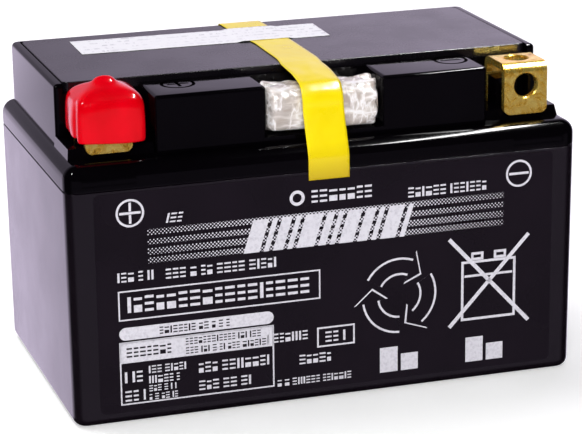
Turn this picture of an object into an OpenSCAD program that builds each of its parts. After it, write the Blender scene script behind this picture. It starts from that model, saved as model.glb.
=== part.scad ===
// Sealed 12 V motorcycle battery with six flat-plate cells and absorbent glass mat separators.
// The frame is in millimetres: origin at the middle of the base, +X along the front face
// from the positive to the negative terminal, +Y to the back, +Z up.

/* [Case] */
// Overall width along X
body_w = 150; // [149:1:170]
// Overall depth along Y
body_d = 87; // [84:1:95]
// Height of the top of the vent cover, which is the battery's own height
body_h = 93; // [92:1:105]
// Height of the seam where the cover is welded on the container
seam_z = 68.2; // [66:0.1:68.5]
// Thickness of the outer walls
wall = 2.5; // [2:0.1:3]
// Thickness of the walls between the cells
partition = 1.5; // [1.2:0.1:1.8]
// Radius of the vertical corners and of the cover's shoulder
corner_r = 4; // [3:0.5:5]
// How much narrower each side is at the base than at the seam
draft = 0.4; // [0.2:0.1:0.6]

/* [Tower] */
// How far each side wall of the tower stands in from the side of the case
tower_side_inset = 3.2; // [2.5:0.1:5]
// How far the tower's front wall stands back from the front of the case
tower_front_inset = 24; // [23:0.5:26]
// How far the tower's back wall stands in from the back of the case
tower_back_inset = 3.8; // [3:0.1:6]

/* [Terminals] */
// Distance of each terminal's middle from the side of the case
terminal_inset = 13.7; // [13.5:0.1:15]
// How far both terminals are moved towards +X
terminal_shift = 0.5; // [0:0.1:0.5]
// Width of the terminal strap
terminal_w = 13.2; // [12:0.2:14]
// How far the terminal's front face stands back from the front of the case
terminal_front_inset = 7; // [6.8:0.1:7.5]
// Depth of the terminal from front face to back face
terminal_d = 15; // [14:0.5:15]
// Thickness of the terminal strap
strap_t = 2; // [1.6:0.1:2.2]
// Diameter of the two bolt holes of each terminal
bolt_hole_d = 7; // [6.4:0.1:7]

/* [Cells] */
// Number of positive plates in a cell
positive_plates = 4; // [3:1:4]
// Thickness of a positive plate
positive_t = 1.9; // [1.5:0.1:1.9]
// Thickness of a negative plate
negative_t = 1.4; // [1.1:0.1:1.4]
// Thickness of a glass mat separator
separator_t = 0.95; // [0.7:0.05:0.95]

/* [Packing] */
// Width of the adhesive tape
tape_w = 12.4; // [10:0.2:16]
// Distance of the printed front label's edges from the sides of the case
label_inset = 7.6; // [6:0.2:12]

/* [Hidden] */
CELLS = 6;
$fn = 64;
HULL_FN = 32;
// How far a cut reaches past the face that it opens
OVER = 1;

// Case
half_w = body_w / 2;
half_d = body_d / 2;
base_r = 3;
shoulder_r = 4;
ledge_z = seam_z + 7;
roof_z = ledge_z - 2.7;
groove_h = 0.5;
groove_depth = 0.7;
cell_w = (body_w - 2 * wall - (CELLS - 1) * partition) / CELLS;
cell_pitch = cell_w + partition;
cell_half_d = half_d - wall;
pad_w = 15.2;
pad_x = half_w - 12;
pad_depth = 0.25;
pad_bottom = seam_z + 1.2;

// Tower, its deck with the vent chimneys and the seat of the vent cover
tower_half_w = half_w - tower_side_inset;
tower_front = -half_d + tower_front_inset;
tower_back = half_d - tower_back_inset;
rim_z = body_h - 0.2;
rim_r = 1.2;
tower_back_r = 2.5;
tower_wall = 2;
deck_z = body_h - 8.5;
deck_t = 2.5;
chamber_wall = 3.5;
plate_t = 3;
plate_gap = 0.45;
plate_side_gap = 2.8;
seat_half_w = tower_half_w - plate_side_gap + plate_gap;
plate_r = 2;
plate_front_y = tower_front + 1;
plate_back_y = tower_back - 2.4;
chimney_y = 12;
chimney_r = 5.5;
chimney_bore_r = 3;
chimney_h = 2.5;
arrestor_r = 4;
arrestor_t = 0.8;
arrestor_z = body_h - plate_t + 0.7;
vent_slot_w = 1;
vent_slot_h = 0.6;
valve_wall = 1.2;
valve_running_gap = 0.08;

// Blocks that stand in front of the tower, and the bay between them
block_top = body_h - 1.5;
block_front = -half_d + 6.5;
block_r = 1;
bay_x = [-16, 18.2];
plus_block = [-half_w + 27.2, bay_x[0]];
minus_block = [bay_x[1], half_w - 25.4];
bay_floor = ledge_z + 1.8;
bay_step_y = tower_front - 2;
bay_step_top = block_top - 0.3;
mark_r = 5;
mark_line = 1;
mark_depth = 0.6;
mark_bar = 1.24 * mark_r;
mark_y = block_front + 11.8;
plus_mark_x = plus_block[0] + 9.7;
minus_mark_x = minus_block[1] - 6.5;

// Terminal platforms
platform_z = ledge_z + 2.8;
platform_front = -half_d + terminal_front_inset + strap_t + 0.5;
platform_slant = 1.3;
platform_side_slant = 0.5;
platform_inner_x = half_w - 28;

// Terminals
terminal_front = -half_d + terminal_front_inset;
terminal_back = terminal_front + terminal_d;
terminal_top = body_h - 1.5;
leg_bottom = platform_z - 1.4;
leg_corner_r = 2;
bend_r = 2.8;
inner_bend_r = 0.8;
hole_chamfer = 0.3;
hole_z = terminal_top - 6.5;
terminal_y = terminal_front + terminal_d / 2;
foot_z = ledge_z + 0.4;
core_gap = 0.2;
core_depth = 5.8;
core_top = terminal_top - 5.5;
core_slot_w = 7.4;
core_back_t = 1.7;
post_r = 4.5;
post_gap = 0.05;
post_y = terminal_back - 2.5;
seal_r = 6.4;
seal_t = 1.5;

// Cells
negative_plates = positive_plates + 1;
separators = 2 * positive_plates;
pack_w = positive_plates * positive_t + negative_plates * negative_t + separators * separator_t;
plate_half_d = cell_half_d - 2;
plate_bottom = wall + 1.5;
bus_z = seam_z - 8.2;
bus_t = 3.5;
bus_y = plate_half_d - 13;
bus_d = 14;
plate_top = bus_z - 4;
separator_top = plate_top + 1.5;
lug_w = 8;
upright_t = 2;
upright_top = seam_z - 0.8;
weld_z = seam_z - 3.2;
weld_r = 2.2;

// Cap, tape, labels and the bag of bolts
cap_x = [terminal_x(-1) - 8.9, terminal_x(-1) + 10.5];
cap_y = [terminal_front - 1.5, terminal_back + 1.5];
cap_bottom = terminal_top - 12;
cap_shoulder_z = terminal_top - 0.1;
cap_top = terminal_top + 2.7;
cap_wall = 1.2;
cap_r = 3;
cap_shoulder_inset = 3;
nipple_r = 2.4;
nipple_tip_r = 1.5;
tape_t = 0.15;
tape_gap = 0.2;
tape_shift = 0.2;
tape_shoulder_angle = 21.4;
label_bottom = 3.6;
label_top = seam_z - 1.2;
label_gap = 0.01;
film_t = 0.12;
top_label_size = [75.3, 17.8];
top_label_mid = [-18.2, 21.5];
top_label_turn = -1.2;
bag = [
    [bay_x[0] + 0.8, block_front - 0.6, bay_floor + 0.5],
    [bay_x[1] - 0.8, bay_step_y - 0.5, block_top - 0.6]
];
bag_film = 0.25;
bag_r = 3;
bag_mid = (bag[0] + bag[1]) / 2;
bolt_r = 3;
bolt_l = 10;
bolt_reach = 15.2;
bolt_lift = 0.4;
bolt_head_r = 5.7;
bolt_head_h = 4;
nut_w = 10;
nut_t = 2.8;
nut_bore_r = 2.6;
nut_offset = 5.2;
nut_lift = 0.1;

function cell_x(i) = (i - (CELLS + 1) / 2) * cell_pitch;
// The positive bus of every second cell is at the back, so that neighbours can be joined
function positive_side(i) = (i % 2 == 1) ? -1 : 1;
// Side -1 is the positive terminal and side 1 is the negative one
function terminal_x(side) = side * (half_w - terminal_inset) + terminal_shift;

// ---------------------------------------------------------------- shared shapes

module box(low, high) {
    translate(low)
        cube(high - low);
}

// Outline with four round corners, centred on the origin
module round_outline(w, d, r) {
    square([w - 2 * r, d], center = true);
    square([w, d - 2 * r], center = true);
    for (sx = [-1, 1], sy = [-1, 1])
        translate([sx * (w / 2 - r), sy * (d / 2 - r)])
            circle(r);
}

// Block from corner low to corner high with round vertical and top edges. Its front and back
// vertical edges may have different radii.
module soft_top_block(low, high, front_r, back_r, top_r) {
    hull()
        for (sx = [0, 1], sy = [0, 1]) {
            r = sy == 0 ? front_r : back_r;
            x = sx == 0 ? low[0] + r : high[0] - r;
            y = sy == 0 ? low[1] + r : high[1] - r;
            translate([x, y, low[2]])
                cylinder(r = r, h = high[2] - top_r - low[2], $fn = HULL_FN);
            translate([x, y, high[2] - top_r])
                soft_disc(r, top_r);
        }
}

// Disc with a rounded top edge
module soft_disc(r, edge_r) {
    rotate_extrude($fn = HULL_FN)
        intersection() {
            union() {
                square([r - edge_r + 0.001, edge_r]);
                translate([r - edge_r, 0])
                    circle(edge_r, $fn = HULL_FN);
            }
            square([r, edge_r]);
        }
}

// ---------------------------------------------------------------- case

module container_shell() {
    inner_w = body_w - 2 * draft;
    inner_d = body_d - 2 * draft;
    hull() {
        translate([0, 0, seam_z - 1])
            linear_extrude(1)
                round_outline(body_w, body_d, corner_r, $fn = HULL_FN);
        for (sx = [-1, 1], sy = [-1, 1])
            translate([sx * (inner_w / 2 - corner_r), sy * (inner_d / 2 - corner_r), base_r])
                mirror([0, 0, 1])
                    soft_disc(corner_r, base_r);
    }
}

module container() {
    color("#1d171d")
        difference() {
            container_shell();
            for (i = [1:CELLS])
                translate([cell_x(i) - cell_w / 2, -cell_half_d, wall])
                    cube([cell_w, 2 * cell_half_d, seam_z]);
            // holes in the partitions for the intercell welds
            for (i = [1:CELLS - 1])
                translate([cell_x(i) + cell_w / 2 - OVER, -positive_side(i) * bus_y, weld_z])
                    rotate([0, 90, 0])
                        cylinder(r = weld_r, h = partition + 2 * OVER);
            // the dark groove under the cover
            translate([0, 0, seam_z - groove_h])
                difference() {
                    linear_extrude(groove_h + OVER)
                        square([body_w + 2 * OVER, body_d + 2 * OVER], center = true);
                    translate([0, 0, -OVER])
                        linear_extrude(groove_h + 3 * OVER)
                            round_outline(body_w - 2 * groove_depth, body_d - 2 * groove_depth,
                                corner_r - groove_depth);
                }
        }
}

module cover_outside() {
    soft_top_block([-half_w, -half_d, seam_z], [half_w, half_d, ledge_z],
        corner_r, corner_r, shoulder_r);
    soft_top_block([-tower_half_w, tower_front, ledge_z - OVER], [tower_half_w, tower_back, rim_z],
        rim_r, tower_back_r, rim_r);
    for (span = [plus_block, minus_block])
        soft_top_block([span[0], block_front, ledge_z - OVER],
            [span[1], tower_front + 2, block_top], block_r, block_r, block_r);
    // floor and back step of the bay
    box([plus_block[1] - 2, block_front, ledge_z - OVER],
        [minus_block[0] + 2, tower_front + OVER, bay_floor]);
    box([plus_block[1] - 2, bay_step_y, ledge_z - OVER],
        [minus_block[0] + 2, tower_front + OVER, bay_step_top]);
    for (side = [0, 1])
        mirror([side, 0, 0])
            platform();
}

// Terminal platform on the +X side, which slants a little at the front and outer side
module platform() {
    low_x = tower_half_w + platform_side_slant;
    hull() {
        translate([platform_inner_x, platform_front - platform_slant, ledge_z - OVER])
            cube([low_x - platform_inner_x, tower_front + OVER - platform_front + platform_slant, 0.5]);
        translate([platform_inner_x, platform_front, platform_z - 0.5])
            cube([tower_half_w - platform_inner_x, tower_front + OVER - platform_front, 0.5]);
    }
}

// The hollow of cell i under the cover: its share of the skirt, the tower and the two blocks
module cover_hollow(i) {
    x0 = cell_x(i) - cell_w / 2;
    x1 = cell_x(i) + cell_w / 2;
    box([x0, -cell_half_d, seam_z - OVER], [x1, cell_half_d, roof_z]);
    box([max(x0, -tower_half_w + tower_wall), tower_front + tower_wall, roof_z - OVER],
        [min(x1, tower_half_w - tower_wall), tower_back - tower_wall, deck_z - deck_t]);
    for (span = [plus_block, minus_block]) {
        lo = max(x0, span[0] + tower_wall);
        hi = min(x1, span[1] - tower_wall);
        if (hi - lo > 3)
            box([lo, block_front + tower_wall, roof_z - OVER],
                [hi, tower_front, block_top - tower_wall]);
    }
}

module ring_mark(x, bars) {
    translate([x, mark_y, block_top - mark_depth]) {
        difference() {
            cylinder(r = mark_r, h = mark_depth + OVER);
            cylinder(r = mark_r - mark_line, h = 3 * mark_depth, center = true);
        }
        for (turn = bars)
            rotate([0, 0, turn])
                translate([-mark_bar / 2, -mark_line / 2, 0])
                    cube([mark_bar, mark_line, mark_depth + OVER]);
    }
}

module cover() {
    color("#151115")
        difference() {
            union() {
                difference() {
                    cover_outside();
                    for (i = [1:CELLS])
                        cover_hollow(i);
                    // valve chamber above the deck
                    box([-tower_half_w + chamber_wall, tower_front + chamber_wall, deck_z],
                        [tower_half_w - chamber_wall, tower_back - chamber_wall, body_h]);
                    // seat of the vent cover, open at the front
                    box([-seat_half_w, tower_front - 0.02, body_h - plate_t],
                        [seat_half_w, plate_back_y + plate_gap, body_h + OVER]);
                }
                for (i = [1:CELLS])
                    translate([cell_x(i), chimney_y, deck_z - OVER])
                        cylinder(r = chimney_r, h = chimney_h + OVER);
            }
            for (i = [1:CELLS])
                translate([cell_x(i), chimney_y, deck_z - deck_t - OVER])
                    cylinder(r = chimney_bore_r, h = deck_t + chimney_h + 2 * OVER);
            for (side = [-1, 1]) {
                translate([terminal_x(side), post_y, roof_z - OVER]) {
                    cylinder(r = post_r + post_gap, h = foot_z - roof_z + OVER);
                    cylinder(r = seal_r + post_gap, h = seal_t + OVER);
                }
                // slot for the foot of the terminal
                box([terminal_x(side) - terminal_w / 2, terminal_back - strap_t, foot_z],
                    [terminal_x(side) + terminal_w / 2, terminal_back, platform_z + OVER]);
                // shallow pad at the front corner of the band
                box([side * pad_x - pad_w / 2, -half_d - OVER, pad_bottom],
                    [side * pad_x + pad_w / 2, -half_d + pad_depth, ledge_z + OVER]);
            }
            ring_mark(plus_mark_x, [0, 90]);
            ring_mark(minus_mark_x, [0]);
        }
}

module vent_cover() {
    plate_size = [2 * (tower_half_w - plate_side_gap), plate_back_y - plate_front_y];
    color("#2a242b")
        difference() {
            translate([0, (plate_front_y + plate_back_y) / 2, body_h - plate_t])
                linear_extrude(plate_t)
                    round_outline(plate_size[0], plate_size[1], plate_r);
            // seat of the flame arrestor and the vent slot from it to the back edge
            translate([cell_x(CELLS), chimney_y, body_h - plate_t - OVER])
                cylinder(r = arrestor_r, h = arrestor_z + arrestor_t - body_h + plate_t + OVER);
            box([cell_x(CELLS) - vent_slot_w / 2, chimney_y, body_h - plate_t - OVER],
                [cell_x(CELLS) + vent_slot_w / 2, plate_back_y + OVER, body_h - plate_t + vent_slot_h]);
        }
}

module flame_arrestor() {
    color("#cfcabb")
        translate([cell_x(CELLS), chimney_y, arrestor_z])
            cylinder(r = arrestor_r, h = arrestor_t);
}

// Rubber cap on a chimney. Gas pressure lifts it off its seat.
module safety_valve(i) {
    color("#2b2b2b")
        translate([cell_x(i), chimney_y, deck_z])
            difference() {
                cylinder(r = chimney_r + valve_wall, h = chimney_h + valve_wall + 0.2);
                translate([0, 0, -OVER])
                    cylinder(r = chimney_r + valve_running_gap, h = chimney_h + OVER);
            }
}

// ---------------------------------------------------------------- cells

// X of the middle of layer k of a cell's stack, counted from its left face.
// The layers go negative, separator, positive, separator, negative and so on.
function layer_x(k) =
    -pack_w / 2
    + floor((k + 3) / 4) * negative_t
    + floor((k + 1) / 4) * positive_t
    + floor(k / 2) * separator_t
    + layer_t(k) / 2;
function layer_t(k) = (k % 2 == 1) ? separator_t : (k % 4 == 0) ? negative_t : positive_t;

module plate(x, t, bus_side) {
    translate([x - t / 2, -plate_half_d, plate_bottom])
        cube([t, 2 * plate_half_d, plate_top - plate_bottom]);
    translate([x - t / 2, bus_side * bus_y - lug_w / 2, plate_top - OVER])
        cube([t, lug_w, bus_z - plate_top + 2 * OVER]);
}

// Cast bus bar that joins a cell's plates, with an upright for the weld through the partition
module bus(bus_side, upright_side) {
    translate([-pack_w / 2, bus_side * bus_y - bus_d / 2, bus_z])
        cube([pack_w, bus_d, bus_t]);
    if (upright_side != 0)
        translate([upright_side * (cell_w - upright_t) / 2 - upright_t / 2,
                bus_side * bus_y - bus_d / 2, bus_z])
            cube([upright_t, bus_d, upright_top - bus_z]);
}

module cell_positive_plates(i) {
    color("#5a3420")
        translate([cell_x(i), 0, 0]) {
            for (k = [2:4:4 * positive_plates - 2])
                plate(layer_x(k), positive_t, positive_side(i));
            bus(positive_side(i), i > 1 ? -1 : 0);
        }
}

module cell_negative_plates(i) {
    color("#7b7f84")
        translate([cell_x(i), 0, 0]) {
            for (k = [0:4:4 * positive_plates])
                plate(layer_x(k), negative_t, -positive_side(i));
            bus(-positive_side(i), i < CELLS ? 1 : 0);
        }
}

module cell_separators(i) {
    color("#f0f0ea")
        translate([cell_x(i), 0, 0])
            for (k = [1:2:4 * positive_plates - 1])
                translate([layer_x(k) - separator_t / 2, -plate_half_d - 1, plate_bottom - 1])
                    cube([separator_t, 2 * plate_half_d + 2, separator_top - plate_bottom + 1]);
}

// Weld nugget through the partition between cells i and i + 1
module intercell_connector(i) {
    color("#9a9da2")
        translate([cell_x(i) + cell_w / 2, -positive_side(i) * bus_y, weld_z])
            rotate([0, 90, 0])
                cylinder(r = weld_r, h = partition);
}

module post(side) {
    color("#8d9095")
        translate([terminal_x(side), post_y, bus_z + bus_t])
            cylinder(r = post_r, h = foot_z - bus_z - bus_t);
}

module post_seal(side) {
    color("#1f4f8f")
        translate([terminal_x(side), post_y, roof_z])
            difference() {
                cylinder(r = seal_r, h = seal_t);
                cylinder(r = post_r, h = 4 * seal_t, center = true);
            }
}

// ---------------------------------------------------------------- terminals

// Side view of the strap: front leg, round bends, top and back leg
module strap_profile() {
    difference() {
        union() {
            translate([terminal_front + bend_r, terminal_top - bend_r])
                circle(bend_r);
            translate([terminal_back - bend_r, terminal_top - bend_r])
                circle(bend_r);
            translate([terminal_front + bend_r, terminal_top - 2 * bend_r])
                square([terminal_d - 2 * bend_r, 2 * bend_r]);
            translate([terminal_front, leg_bottom])
                square([2 * bend_r, terminal_top - bend_r - leg_bottom]);
            translate([terminal_back - 2 * bend_r, foot_z])
                square([2 * bend_r, terminal_top - bend_r - foot_z]);
        }
        // the gap inside the strap, with small round inner bends
        translate([terminal_front + strap_t, foot_z - OVER])
            square([terminal_d - 2 * strap_t, terminal_top - strap_t - inner_bend_r - foot_z + OVER]);
        translate([terminal_front + strap_t + inner_bend_r, terminal_top - strap_t - 2 * inner_bend_r])
            square([terminal_d - 2 * (strap_t + inner_bend_r), 2 * inner_bend_r]);
        for (y = [terminal_front + strap_t + inner_bend_r, terminal_back - strap_t - inner_bend_r])
            translate([y, terminal_top - strap_t - inner_bend_r])
                circle(inner_bend_r);
    }
}

// Round hole with a small chamfer at its mouth; the mouth is at z = 0 and the hole goes down
module bolt_hole() {
    translate([0, 0, -strap_t - OVER])
        cylinder(d = bolt_hole_d, h = strap_t + 2 * OVER);
    translate([0, 0, -hole_chamfer])
        cylinder(d1 = bolt_hole_d, d2 = bolt_hole_d + 4 * hole_chamfer, h = 2 * hole_chamfer);
}

// What is cut off the front leg's lower corner on side s to make it round
module leg_corner(s) {
    translate([s * terminal_w / 2, terminal_front - OVER, leg_bottom])
        difference() {
            translate([-leg_corner_r, 0, -leg_corner_r])
                cube([2 * leg_corner_r, strap_t + 2 * OVER, 2 * leg_corner_r]);
            translate([-s * leg_corner_r, -OVER, leg_corner_r])
                rotate([-90, 0, 0])
                    cylinder(r = leg_corner_r, h = strap_t + 4 * OVER);
        }
}

module terminal(side) {
    color("#d9a52b")
        translate([terminal_x(side), 0, 0])
            difference() {
                translate([-terminal_w / 2, 0, 0])
                    rotate([90, 0, 90])
                        linear_extrude(terminal_w)
                            strap_profile();
                translate([0, terminal_front, hole_z])
                    rotate([90, 0, 0])
                        bolt_hole();
                translate([0, terminal_y, terminal_top])
                    bolt_hole();
                for (s = [-1, 1])
                    leg_corner(s);
            }
}

// Plastic block inside the back of the strap, with a slot that both bolts run into
module terminal_core(side) {
    back = terminal_back - strap_t - core_gap;
    half_core = terminal_w / 2 - core_gap;
    color("#151115")
        translate([terminal_x(side), back, platform_z])
            difference() {
                translate([-half_core, -core_depth, 0])
                    cube([2 * half_core, core_depth, core_top - platform_z]);
                translate([-core_slot_w / 2, -core_depth - OVER, -OVER])
                    cube([core_slot_w, core_depth - core_back_t + OVER, core_top - platform_z + 2 * OVER]);
            }
}

// Dip-moulded cover over the positive terminal, open at the bottom
module positive_terminal_cap() {
    mid = [(cap_x[0] + cap_x[1]) / 2, (cap_y[0] + cap_y[1]) / 2];
    size = [cap_x[1] - cap_x[0], cap_y[1] - cap_y[0]];
    rim = cap_top - cap_shoulder_z - 2;
    color("#e0061c")
        translate([mid[0], mid[1], 0])
            difference() {
                union() {
                    hull() {
                        translate([0, 0, cap_bottom])
                            linear_extrude(cap_shoulder_z - cap_bottom)
                                round_outline(size[0], size[1], cap_r, $fn = HULL_FN);
                        translate([0, 0, cap_top - rim])
                            linear_extrude(rim)
                                round_outline(size[0] - 2 * cap_shoulder_inset,
                                    size[1] - 2 * cap_shoulder_inset, cap_r, $fn = HULL_FN);
                    }
                    translate([0, 0, cap_top - OVER])
                        cylinder(r = nipple_r, h = 2 * OVER);
                    translate([0, 0, cap_top + OVER])
                        sphere(nipple_tip_r);
                }
                translate([0, 0, cap_bottom - OVER])
                    linear_extrude(terminal_top + 0.5 - cap_bottom + OVER)
                        round_outline(size[0] - 2 * cap_wall, size[1] - 2 * cap_wall, 1);
            }
}

// ---------------------------------------------------------------- labels and packing

// Printed film on the drafted front wall
module front_label() {
    color("#241a24")
        translate([0, -half_d - label_gap, seam_z])
            rotate([atan(draft / (seam_z - base_r)), 0, 0])
                translate([-half_w + label_inset, -film_t, label_bottom - seam_z])
                    cube([body_w - 2 * label_inset, film_t, label_top - label_bottom]);
}

module top_label() {
    color("white")
        translate([top_label_mid[0], top_label_mid[1], body_h + tape_gap + tape_t])
            rotate([0, 0, top_label_turn])
                translate(-[top_label_size[0], top_label_size[1], 0] / 2)
                    cube([top_label_size[0], top_label_size[1], film_t]);
}

// Side view of the tape's inner face from the front of the container round the shoulder, over
// the bag and the top to the back of the tower
tape_route = [
    [-half_d - tape_gap, seam_z - 2.9],
    [-half_d - tape_gap, ledge_z - shoulder_r],
    [-half_d + shoulder_r - (shoulder_r + tape_gap) * cos(tape_shoulder_angle),
        ledge_z - shoulder_r + (shoulder_r + tape_gap) * sin(tape_shoulder_angle)],
    [bag[0][1] - 1.8, bag[1][2] - 7.9],
    [bag[0][1] - 1.4, bag[1][2] - 4.4],
    [bag[0][1] - 0.4, bag[1][2] - 1.9],
    [bag[0][1] + 1.6, bag[1][2]],
    [bag[0][1] + 4.6, bag[1][2] + 0.9],
    [bag[0][1] + 9.6, bag[1][2] + 1.6],
    [plate_front_y - 1, body_h + 0.1],
    [plate_front_y + 2, body_h + tape_gap],
    [tower_back - rim_r - 0.4, body_h + tape_gap],
    [tower_back - 0.4, body_h - 0.1],
    [tower_back + tape_gap, body_h - 1.4],
    [tower_back + tape_gap, body_h - 13]
];
// Direction of the tape at point k, and the same point on its outer face
function tape_dir(k) =
    let (a = tape_route[max(k - 1, 0)], b = tape_route[min(k + 1, len(tape_route) - 1)])
    (b - a) / norm(b - a);
function tape_outer(k) =
    let (d = tape_dir(k))
    tape_route[k] + tape_t * [-d[1], d[0]];

module hold_down_tape() {
    last = len(tape_route) - 1;
    color("#ffee00")
        translate([-tape_w / 2 + tape_shift, 0, 0])
            rotate([90, 0, 90])
                linear_extrude(tape_w)
                    polygon(concat(tape_route, [for (k = [last:-1:0]) tape_outer(k)]));
}

// Side view of the bag, made smaller all round by inset
module bag_outline(inset) {
    size = bag[1] - bag[0];
    translate([bag_mid[1], bag_mid[2]])
        round_outline(size[1] - 2 * inset, size[2] - 2 * inset, bag_r - inset);
}

module hardware_bag() {
    length = bag[1][0] - bag[0][0];
    color("#e8e6ee", 0.5)
        translate([bag[0][0], 0, 0])
            rotate([90, 0, 90])
                difference() {
                    linear_extrude(length)
                        bag_outline(0);
                    translate([0, 0, bag_film])
                        linear_extrude(length - 2 * bag_film)
                            bag_outline(bag_film);
                }
}

// A bolt that points along +Z from the top of its head
module terminal_bolt() {
    cylinder(r = bolt_head_r, h = bolt_head_h, $fn = 6);
    translate([0, 0, bolt_head_h - 1])
        cylinder(r = bolt_head_r - 0.1, h = 1);
    translate([0, 0, bolt_head_h - 0.5])
        cylinder(r = bolt_r, h = bolt_l + 0.5);
}

// Two bolts end to end in the middle of the bag, with their heads outwards
module terminal_bolts() {
    color("#c9cbd0")
        for (side = [-1, 1])
            translate([bag_mid[0] + side * bolt_reach, bag_mid[1], bag_mid[2] + bolt_lift])
                rotate([0, -side * 90, 0])
                    terminal_bolt();
}

// Two square nuts that lie under the bolts
module terminal_nuts() {
    color("#c9cbd0")
        for (side = [-1, 1])
            translate([bag_mid[0] + side * nut_offset, bag_mid[1], bag[0][2] + bag_film + nut_lift])
                difference() {
                    translate([-nut_w / 2, -nut_w / 2, 0])
                        cube([nut_w, nut_w, nut_t]);
                    translate([0, 0, -OVER])
                        cylinder(r = nut_bore_r, h = nut_t + 2 * OVER);
                }
}

// ---------------------------------------------------------------- parts

container();
cover();
vent_cover();
flame_arrestor();
for (i = [1:CELLS]) {
    safety_valve(i);
    cell_positive_plates(i);
    cell_negative_plates(i);
    cell_separators(i);
}
for (i = [1:CELLS - 1])
    intercell_connector(i);
post(-1);  // positive_post
post(1);  // negative_post
post_seal(-1);  // positive_post_seal
post_seal(1);  // negative_post_seal
terminal(-1);  // positive_terminal
terminal(1);  // negative_terminal
positive_terminal_cap();
terminal_core(-1);  // positive_terminal_core
terminal_core(1);  // negative_terminal_core
front_label();
top_label();
hold_down_tape();
hardware_bag();
terminal_bolts();
terminal_nuts();
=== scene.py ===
"""Looks of the sealed motorcycle battery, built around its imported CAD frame."""
import math
import random

import bmesh
import bpy
from mathutils import Matrix, Vector, noise


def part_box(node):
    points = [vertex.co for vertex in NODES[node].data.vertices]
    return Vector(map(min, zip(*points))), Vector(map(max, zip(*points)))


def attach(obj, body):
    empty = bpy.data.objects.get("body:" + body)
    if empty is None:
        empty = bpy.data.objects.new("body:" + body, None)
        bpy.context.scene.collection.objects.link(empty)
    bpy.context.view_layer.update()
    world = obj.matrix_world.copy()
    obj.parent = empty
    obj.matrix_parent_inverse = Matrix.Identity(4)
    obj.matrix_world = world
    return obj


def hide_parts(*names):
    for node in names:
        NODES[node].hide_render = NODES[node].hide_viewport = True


MM = 0.001
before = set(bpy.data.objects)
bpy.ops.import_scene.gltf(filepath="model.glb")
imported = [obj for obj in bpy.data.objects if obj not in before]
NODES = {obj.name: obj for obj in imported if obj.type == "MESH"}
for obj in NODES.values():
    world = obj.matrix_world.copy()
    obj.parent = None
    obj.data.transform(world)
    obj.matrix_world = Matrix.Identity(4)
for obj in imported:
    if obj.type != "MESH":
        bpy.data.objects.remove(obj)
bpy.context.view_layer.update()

FILM_T = 0.12  # millimetres, thickness of the printed front film
LEDGE_RISE = 7 * MM  # from the seam up to the cover's ledge
CAP_FOLD = 4.2 * MM  # from the cap's front to the fold in its side


# ------------------------------------------------------------------ camera, light and floor

def make_camera():
    """Long-lens view of the front left corner, from a little above."""
    azimuth, elevation, roll = math.radians(-17.726), math.radians(16.656), math.radians(-0.771)
    target = Vector((1.9, -1.8, 42.2)) * MM
    distance = 723.7 * MM
    back = Vector((math.sin(azimuth) * math.cos(elevation),
                   -math.cos(azimuth) * math.cos(elevation),
                   math.sin(elevation)))
    data = bpy.data.cameras.new("camera")
    data.sensor_width = 36
    data.lens = 150.9
    data.clip_start = 0.01
    data.clip_end = 50
    camera = bpy.data.objects.new("camera", data)
    camera.location = target + back * distance
    camera.rotation_euler = ((-back).to_track_quat("-Z", "Y").to_matrix()
                             @ Matrix.Rotation(roll, 3, "Z")).to_euler()
    bpy.context.scene.collection.objects.link(camera)
    bpy.context.scene.camera = camera


def area_light(name, place, aim, size, power, glossy=True, diffuse=True, along=None):
    """A soft box at place that faces aim; along is the direction of its first side."""
    data = bpy.data.lights.new(name, "AREA")
    data.shape = "RECTANGLE"
    data.size, data.size_y = size
    data.energy = power
    light = bpy.data.objects.new(name, data)
    light.location = place
    back = (Vector(place) - Vector(aim)).normalized()
    if along:
        side = Vector(along) - back * back.dot(Vector(along))
        side.normalize()
        light.rotation_euler = Matrix((side, back.cross(side), back)).transposed().to_euler()
    else:
        light.rotation_euler = back.to_track_quat("Z", "Y").to_euler()
    light.visible_glossy = glossy
    light.visible_diffuse = diffuse
    bpy.context.scene.collection.objects.link(light)


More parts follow.
